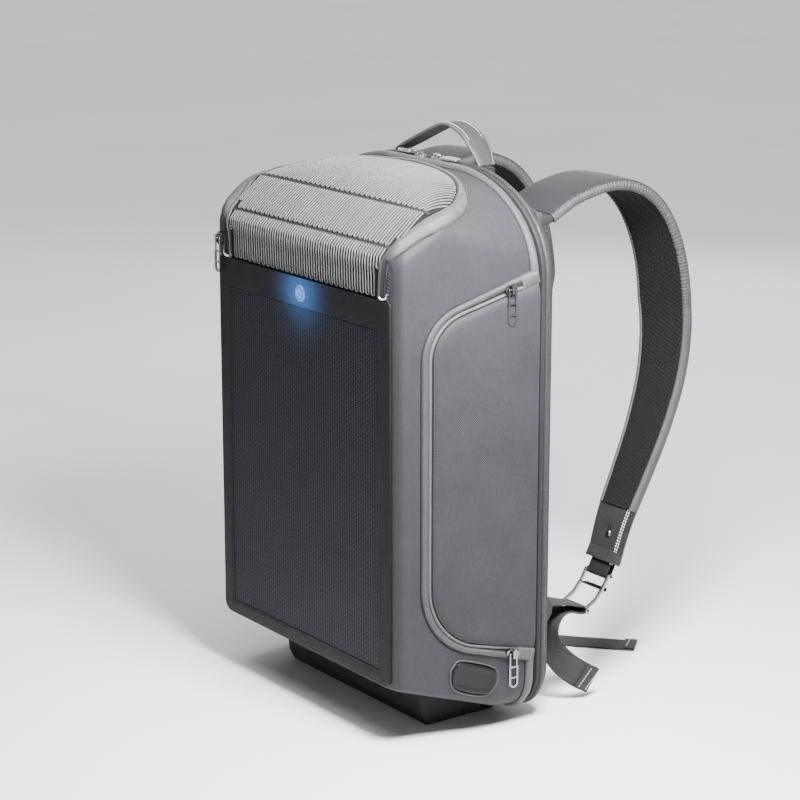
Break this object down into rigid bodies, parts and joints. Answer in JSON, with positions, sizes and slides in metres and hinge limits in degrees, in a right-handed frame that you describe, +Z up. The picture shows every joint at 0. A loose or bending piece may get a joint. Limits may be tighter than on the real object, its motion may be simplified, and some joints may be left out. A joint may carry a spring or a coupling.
{
  "type": "solar backpack",
  "caption": "Rigid-looking padded backpack with a solar panel on its front, ribbed top flap, zipped side pockets, charging port and padded shoulder straps.",
  "frame": {"origin": "on the ground under the middle of the case's width and depth, on the base foot's flat face", "axes": "+Z up, -Y the way the solar panel faces, +Y towards the wearer's back, +X to the viewer's right of the solar panel"},
  "size_m": [0.3196, 0.3505, 0.5088],
  "materials": {
    "grey_twill": "silver-grey heather twill with a satin sheen",
    "gusset_satin": "satin grey rolled fabric",
    "ribbed_fabric": "dark fabric with raised silver cord ribs",
    "lining": "plain dark grey lining",
    "black_base": "matt black coated fabric",
    "leather_look": "black pebbled leather-look",
    "solar_cell": "dark blue-grey textured laminate",
    "black_plastic": "fine matt moulded",
    "lit_button": "translucent, lit blue",
    "circuit_board": "solder mask green",
    "cable_jacket": "matt black",
    "metal": "polished gunmetal",
    "socket_steel": "plated steel",
    "zip_tape": "woven tape with a nylon coil",
    "soft_rubber": "matt black",
    "board": "fabric-covered foam board",
    "mesh": "black air mesh",
    "piping": "ribbed dark grey piping",
    "webbing": "charcoal herringbone webbing"
  },
  "bodies": {
    "front_case": {"front_shell": "grey_twill", "base_foot": "black_base", "solar_backing": "leather_look", "solar_laminate": "solar_cell", "junction_box": "black_plastic", "charge_controller": "black_plastic", "usb_lead": "cable_jacket", "usb_housing": "black_plastic", "usb_socket": "socket_steel", "button_bezel": "black_plastic", "button_board": "circuit_board", "power_bank_pocket": "lining", "inner_divider": "lining", "top_pocket_tray": "lining", "right_pocket_liner": "lining", "left_pocket_liner": "lining", "flap_zip": "zip_tape", "right_pocket_zip": "zip_tape", "left_pocket_zip": "zip_tape", "main_zip": "zip_tape"},
    "power_button": {"power_button": "lit_button"},
    "usb_cover": {"usb_cover": "soft_rubber"},
    "top_flap": {"flap_panel": "ribbed_fabric", "flap_gusset": "gusset_satin"},
    "right_pocket_door": {"right_pocket_door": "grey_twill"},
    "left_pocket_door": {"left_pocket_door": "grey_twill"},
    "back_panel": {"back_board": "board", "back_pads": "mesh", "luggage_strap": "webbing", "rear_band": "grey_twill", "rear_piping": "piping", "laptop_sleeve": "lining", "strap_yoke": "webbing", "strap_wings": "webbing", "handle_anchors": "webbing"},
    "carry_handle": {"carry_handle": "webbing"},
    "right_strap": {"right_strap_pad": "grey_twill", "right_strap_mesh": "mesh", "right_strap_patch": "leather_look", "right_strap_webbing": "webbing"},
    "right_ladder_lock": {"right_ladder_lock": "metal"},
    "left_strap": {"left_strap_pad": "grey_twill", "left_strap_mesh": "mesh", "left_strap_patch": "leather_look", "left_strap_webbing": "webbing"},
    "left_ladder_lock": {"left_ladder_lock": "metal"},
    "right_top_slider": {"right_top_slider": "metal"},
    "right_top_pull": {"right_top_pull": "metal"},
    "right_low_slider": {"right_low_slider": "metal"},
    "right_low_pull": {"right_low_pull": "metal"},
    "main_right_slider": {"main_right_slider": "metal"},
    "main_right_pull": {"main_right_pull": "metal"},
    "left_top_slider": {"left_top_slider": "metal"},
    "left_top_pull": {"left_top_pull": "metal"},
    "left_low_slider": {"left_low_slider": "metal"},
    "left_low_pull": {"left_low_pull": "metal"},
    "main_left_slider": {"main_left_slider": "metal"},
    "main_left_pull": {"main_left_pull": "metal"},
    "flap_slider": {"flap_slider": "metal"},
    "flap_pull": {"flap_pull": "metal"}
  },
  "joints": [
    {"name": "back_panel_opens", "type": "hinge", "parent": "front_case", "child": "back_panel", "pos_m": [0, 0.053, 0.0095], "axis": [-1, 0, 0], "range_deg": [0, 45]},
    {"name": "flap_opens", "type": "hinge", "parent": "front_case", "child": "top_flap", "pos_m": [0, -0.086, 0.3855], "axis": [1, 0, 0], "range_deg": [0, 110]},
    {"name": "right_door_opens", "type": "hinge", "parent": "front_case", "child": "right_pocket_door", "pos_m": [0.15903, 0.04792, 0.235], "axis": [0, 0, 1], "range_deg": [0, 95]},
    {"name": "left_door_opens", "type": "hinge", "parent": "front_case", "child": "left_pocket_door", "pos_m": [-0.15903, 0.04792, 0.235], "axis": [0, 0, -1], "range_deg": [0, 95]},
    {"name": "power_button_press", "type": "slide", "parent": "front_case", "child": "power_button", "axis": [0, 1, 0], "range_m": [0, 0.001], "stiffness_N_per_m": 600},
    {"name": "usb_cover_opens", "type": "hinge", "parent": "front_case", "child": "usb_cover", "pos_m": [0.15342, 0.01006, 0.04627], "axis": [0.0421, 0.3394, 0.9397], "range_deg": [0, 110]},
    {"name": "carry_handle_swing", "type": "hinge", "parent": "back_panel", "child": "carry_handle", "pos_m": [0, 0.067, 0.481], "axis": [1, 0, 0], "range_deg": [-20, 20]},
    {"name": "right_strap_swing", "type": "hinge", "parent": "back_panel", "child": "right_strap", "pos_m": [0.095, 0.087, 0.437], "axis": [-0.1021, 0.0146, 0.9947], "range_deg": [-15, 15]},
    {"name": "right_ladder_lock_tilt", "type": "hinge", "parent": "right_strap", "child": "right_ladder_lock", "pos_m": [0.125, 0.149, 0.112], "axis": [1, 0, 0], "range_deg": [-5, 15]},
    {"name": "left_strap_swing", "type": "hinge", "parent": "back_panel", "child": "left_strap", "pos_m": [-0.095, 0.087, 0.437], "axis": [0.1021, 0.0146, 0.9947], "range_deg": [-15, 15]},
    {"name": "left_ladder_lock_tilt", "type": "hinge", "parent": "left_strap", "child": "left_ladder_lock", "pos_m": [-0.125, 0.149, 0.112], "axis": [1, 0, 0], "range_deg": [-5, 15]},
    {"name": "right_top_slider_travel", "type": "slide", "parent": "right_pocket_door", "child": "right_top_slider", "axis": [-0.1181, -0.9515, -0.284], "range_m": [0, 0.038]},
    {"name": "right_top_pull_lift", "type": "hinge", "parent": "right_top_slider", "child": "right_top_pull", "pos_m": [0.15688, 0.02048, 0.38943], "axis": [-0.1231, -0.9924, 0], "range_deg": [0, 110]},
    {"name": "right_low_slider_travel", "type": "slide", "parent": "right_pocket_door", "child": "right_low_slider", "axis": [-0.1195, -0.9629, 0.2419], "range_m": [0, 0.034]},
    {"name": "right_low_pull_lift", "type": "hinge", "parent": "right_low_slider", "child": "right_low_pull", "pos_m": [0.1575, 0.02544, 0.07113], "axis": [-0.1231, -0.9924, 0], "range_deg": [0, 110]},
    {"name": "main_right_slider_travel", "type": "slide", "parent": "front_case", "child": "main_right_slider", "axis": [1, 0, 0], "range_m": [0, 0.025]},
    {"name": "main_right_pull_lift", "type": "hinge", "parent": "main_right_slider", "child": "main_right_pull", "pos_m": [0.012, 0.051, 0.47965], "axis": [0, -1, 0], "range_deg": [0, 150]},
    {"name": "left_top_slider_travel", "type": "slide", "parent": "left_pocket_door", "child": "left_top_slider", "axis": [0.1181, -0.9515, -0.284], "range_m": [0, 0.038]},
    {"name": "left_top_pull_lift", "type": "hinge", "parent": "left_top_slider", "child": "left_top_pull", "pos_m": [-0.15688, 0.02048, 0.38943], "axis": [-0.1231, 0.9924, 0], "range_deg": [0, 110]},
    {"name": "left_low_slider_travel", "type": "slide", "parent": "left_pocket_door", "child": "left_low_slider", "axis": [0.1195, -0.9629, 0.2419], "range_m": [0, 0.034]},
    {"name": "left_low_pull_lift", "type": "hinge", "parent": "left_low_slider", "child": "left_low_pull", "pos_m": [-0.1575, 0.02544, 0.07113], "axis": [-0.1231, 0.9924, 0], "range_deg": [0, 110]},
    {"name": "main_left_slider_travel", "type": "slide", "parent": "front_case", "child": "main_left_slider", "axis": [-1, 0, 0], "range_m": [0, 0.025]},
    {"name": "main_left_pull_lift", "type": "hinge", "parent": "main_left_slider", "child": "main_left_pull", "pos_m": [-0.012, 0.051, 0.47965], "axis": [0, 1, 0], "range_deg": [0, 150]},
    {"name": "flap_slider_travel", "type": "slide", "parent": "front_case", "child": "flap_slider", "axis": [0, 0, 1], "range_m": [0, 0.012]},
    {"name": "flap_pull_lift", "type": "hinge", "parent": "flap_slider", "child": "flap_pull", "pos_m": [-0.1265, -0.08795, 0.402], "axis": [-1, 0, 0], "range_deg": [0, 110]}
  ]
}
